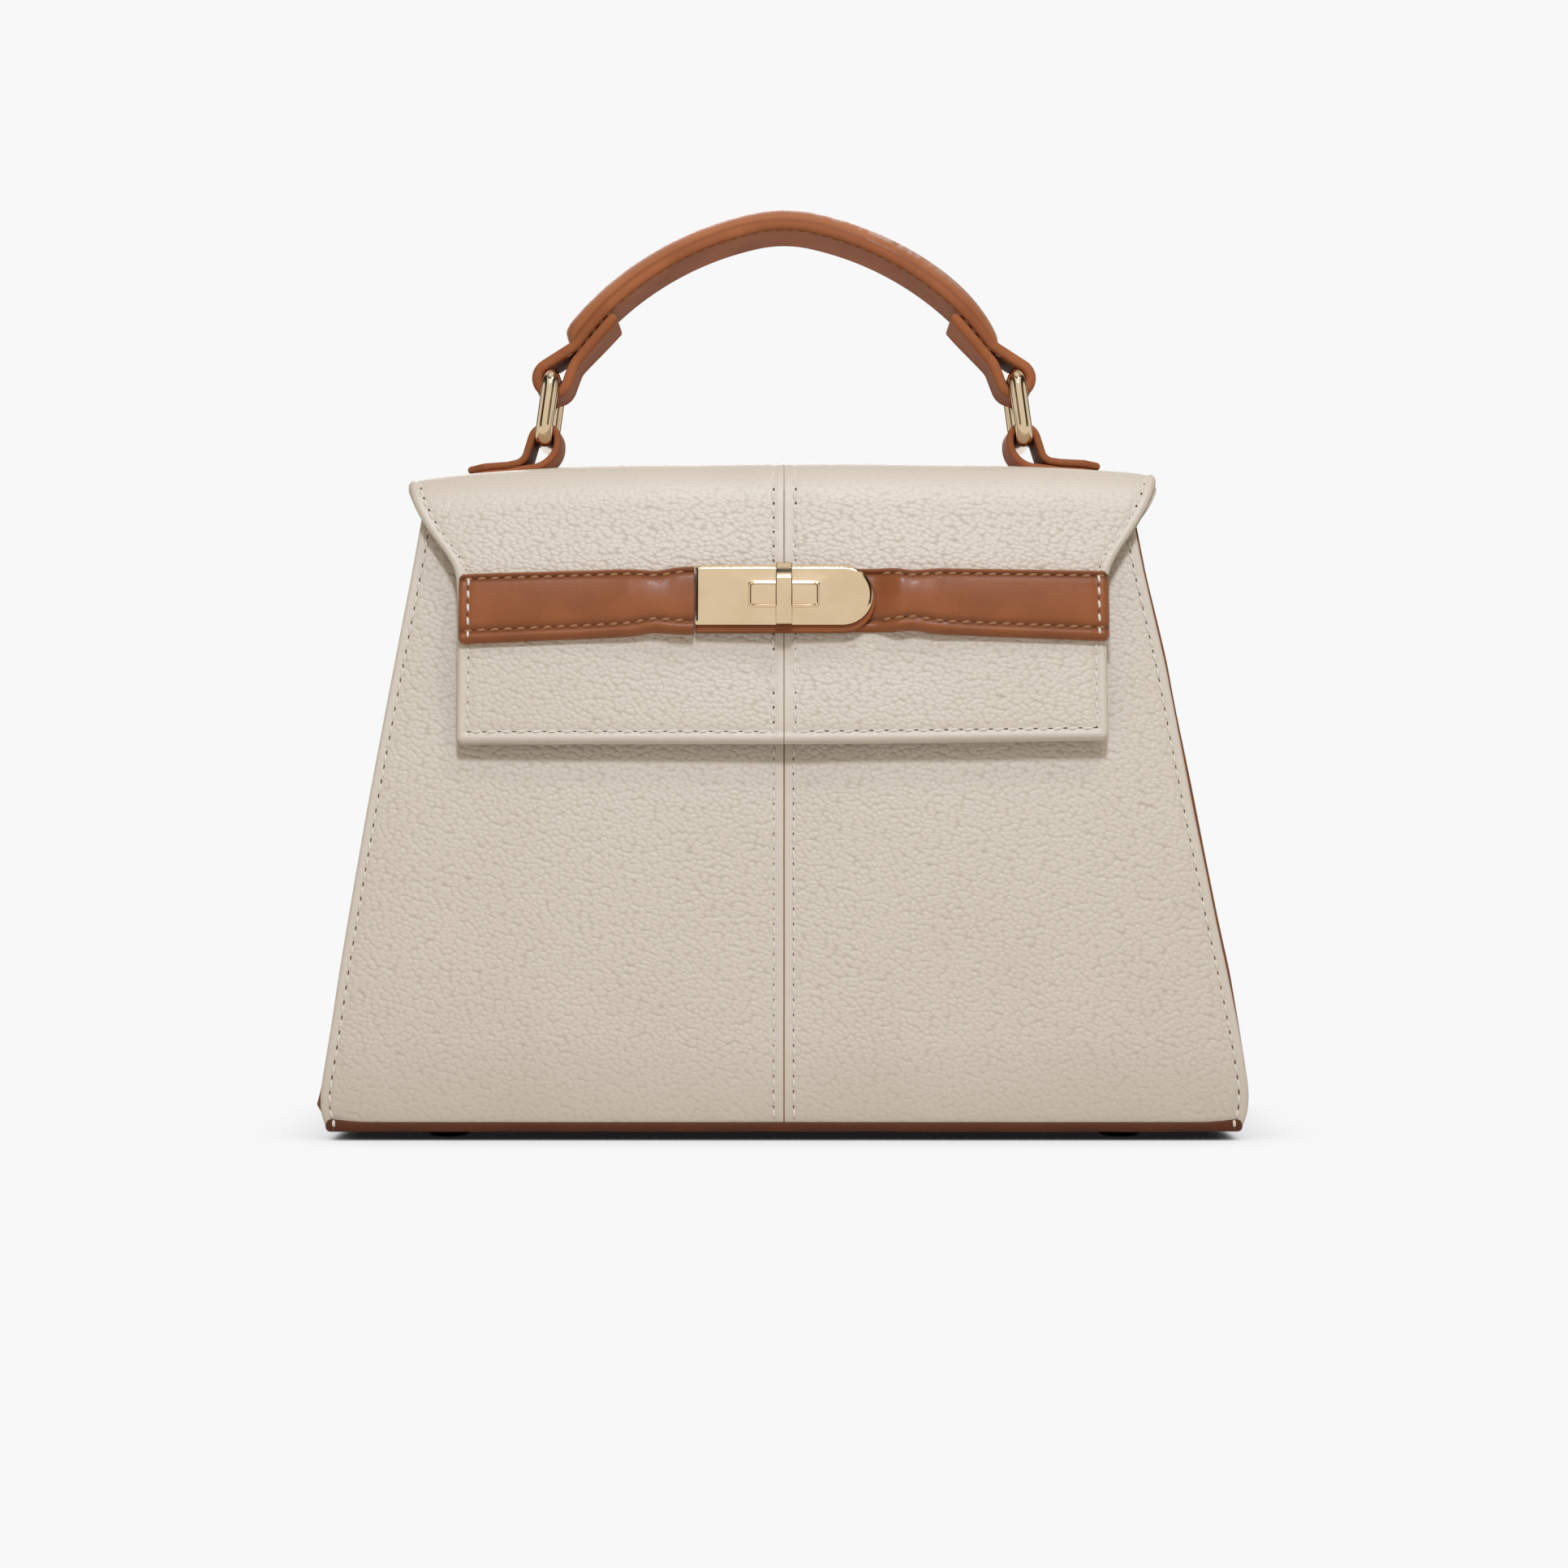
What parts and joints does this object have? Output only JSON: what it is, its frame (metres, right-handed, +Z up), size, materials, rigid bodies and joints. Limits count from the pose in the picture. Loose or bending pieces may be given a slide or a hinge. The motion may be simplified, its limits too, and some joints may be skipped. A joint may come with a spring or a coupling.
{
  "type": "top handle bag",
  "caption": "Trapezoid top handle bag in cream grained leather with a fold-over flap, brown belt, gold turn-lock and an arched padded handle on rings.",
  "frame": {"origin": "on the floor, under the middle of the base", "axes": "+Z up, the front faces -Y, +X to the right as seen from the front"},
  "size_m": [0.24, 0.1, 0.2529],
  "materials": {
    "cream_leather": "pebble grain, satin",
    "brown_leather": "smooth fine grain, satin",
    "gold": "polished pale gold",
    "steel": "plain",
    "board": "raw fibre board",
    "lining_cloth": "woven",
    "cord": "twisted"
  },
  "bodies": {
    "bag_body": {"base_panel": "brown_leather", "base_board": "board", "base_feet": "gold", "foot_washers": "steel", "front_panel_left": "cream_leather", "front_panel_right": "cream_leather", "front_board": "board", "back_panel_left": "cream_leather", "back_panel_right": "cream_leather", "back_board": "board", "left_gusset": "brown_leather", "right_gusset": "brown_leather", "lining": "lining_cloth", "magnet_socket": "steel", "socket_washer": "steel"},
    "flap": {"flap_left": "cream_leather", "flap_right": "cream_leather", "flap_board": "board", "flap_lining": "cream_leather", "magnet_stud": "steel", "stud_washer": "steel", "belt_left": "brown_leather", "belt_right": "brown_leather", "lock_tab": "brown_leather", "lock_plate": "gold", "plate_screws": "steel", "lock_base": "gold", "lock_back_plate": "steel", "left_handle_tab": "brown_leather", "right_handle_tab": "brown_leather"},
    "toggle": {"lock_toggle": "gold", "toggle_post": "gold"},
    "left_ring": {"left_ring": "gold"},
    "right_ring": {"right_ring": "gold"},
    "handle": {"handle_strap": "brown_leather", "handle_cover": "brown_leather", "handle_core": "cord"}
  },
  "joints": [
    {"name": "flap_hinge", "type": "hinge", "parent": "bag_body", "child": "flap", "pos_m": [0, 0.0264, 0.1768], "axis": [-1, 0, 0], "range_deg": [0, 120]},
    {"name": "lock_turn", "type": "hinge", "parent": "flap", "child": "toggle", "pos_m": [0, -0.03817, 0.14229], "axis": [0, -0.9919, 0.1267], "range_deg": [0, 90]},
    {"name": "left_ring_sway", "type": "hinge", "parent": "flap", "child": "left_ring", "pos_m": [-0.0656, -0.003, 0.1878], "axis": [0, 1, 0], "range_deg": [-16, 16]},
    {"name": "right_ring_sway", "type": "hinge", "parent": "flap", "child": "right_ring", "pos_m": [0.0656, -0.003, 0.1878], "axis": [0, 1, 0], "range_deg": [-16.5, 16.5]},
    {"name": "handle_sway", "type": "hinge", "parent": "left_ring", "child": "handle", "pos_m": [-0.06331, -0.003, 0.20434], "axis": [0, 1, 0], "range_deg": [-17, 17]}
  ],
  "couplings": [
    {"joint": "right_ring_sway", "follows": "left_ring_sway", "ratio": 1},
    {"joint": "handle_sway", "follows": "left_ring_sway", "ratio": -1.0363}
  ]
}
